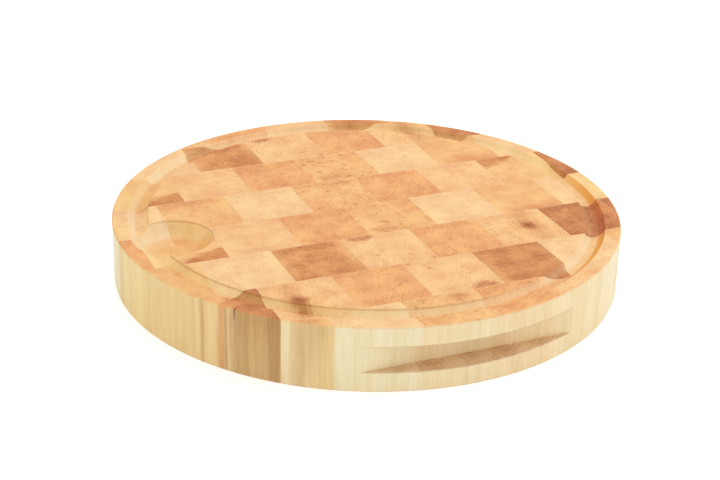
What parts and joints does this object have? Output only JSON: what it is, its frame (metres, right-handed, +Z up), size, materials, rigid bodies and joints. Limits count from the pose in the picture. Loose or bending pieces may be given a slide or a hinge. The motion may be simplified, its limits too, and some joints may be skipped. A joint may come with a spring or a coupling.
{
  "type": "round chopping block",
  "caption": "Thick round end-grain chopping block with a juice groove, a dished juice well and finger grips cut into its edge.",
  "frame": {"origin": "centre of the underside, where the block rests", "axes": "+Z up along the grain, square to the chopping surface; +X along the glued strips, away from the juice well; +Y across the strips, from the front finger grip to the back one"},
  "size_m": [0.4, 0.4, 0.05],
  "materials": {
    "cream_sapwood": "oiled satin",
    "pale_sapwood": "oiled satin",
    "honey_sapwood": "oiled satin",
    "amber_wood": "oiled satin",
    "tawny_heartwood": "oiled satin",
    "red_heartwood": "oiled satin"
  },
  "bodies": {
    "root": {"strip1_block1": "honey_sapwood", "strip1_block2": "amber_wood", "strip1_block3": "pale_sapwood", "strip1_block4": "tawny_heartwood", "strip1_block5": "honey_sapwood", "strip2_block1": "pale_sapwood", "strip2_block2": "honey_sapwood", "strip2_block3": "tawny_heartwood", "strip2_block4": "pale_sapwood", "strip2_block5": "amber_wood", "strip2_block6": "honey_sapwood", "strip2_block7": "red_heartwood", "strip3_block1": "red_heartwood", "strip3_block2": "pale_sapwood", "strip3_block3": "honey_sapwood", "strip3_block4": "amber_wood", "strip3_block5": "honey_sapwood", "strip3_block6": "cream_sapwood", "strip3_block7": "honey_sapwood", "strip3_block8": "cream_sapwood", "strip4_block1": "cream_sapwood", "strip4_block2": "honey_sapwood", "strip4_block3": "cream_sapwood", "strip4_block4": "honey_sapwood", "strip4_block5": "amber_wood", "strip4_block6": "honey_sapwood", "strip4_block7": "pale_sapwood", "strip4_block8": "red_heartwood", "strip5_block1": "red_heartwood", "strip5_block2": "pale_sapwood", "strip5_block3": "honey_sapwood", "strip5_block4": "amber_wood", "strip5_block5": "honey_sapwood", "strip5_block6": "cream_sapwood", "strip5_block7": "honey_sapwood", "strip5_block8": "cream_sapwood", "strip6_block1": "pale_sapwood", "strip6_block2": "honey_sapwood", "strip6_block3": "tawny_heartwood", "strip6_block4": "pale_sapwood", "strip6_block5": "amber_wood", "strip6_block6": "honey_sapwood", "strip6_block7": "red_heartwood", "strip6_block8": "red_heartwood", "strip7_block1": "red_heartwood", "strip7_block2": "honey_sapwood", "strip7_block3": "amber_wood", "strip7_block4": "pale_sapwood", "strip7_block5": "tawny_heartwood", "strip7_block6": "honey_sapwood", "strip7_block7": "pale_sapwood", "strip8_block1": "honey_sapwood", "strip8_block2": "cream_sapwood", "strip8_block3": "honey_sapwood", "strip8_block4": "amber_wood", "strip8_block5": "honey_sapwood"}
  },
  "joints": []
}
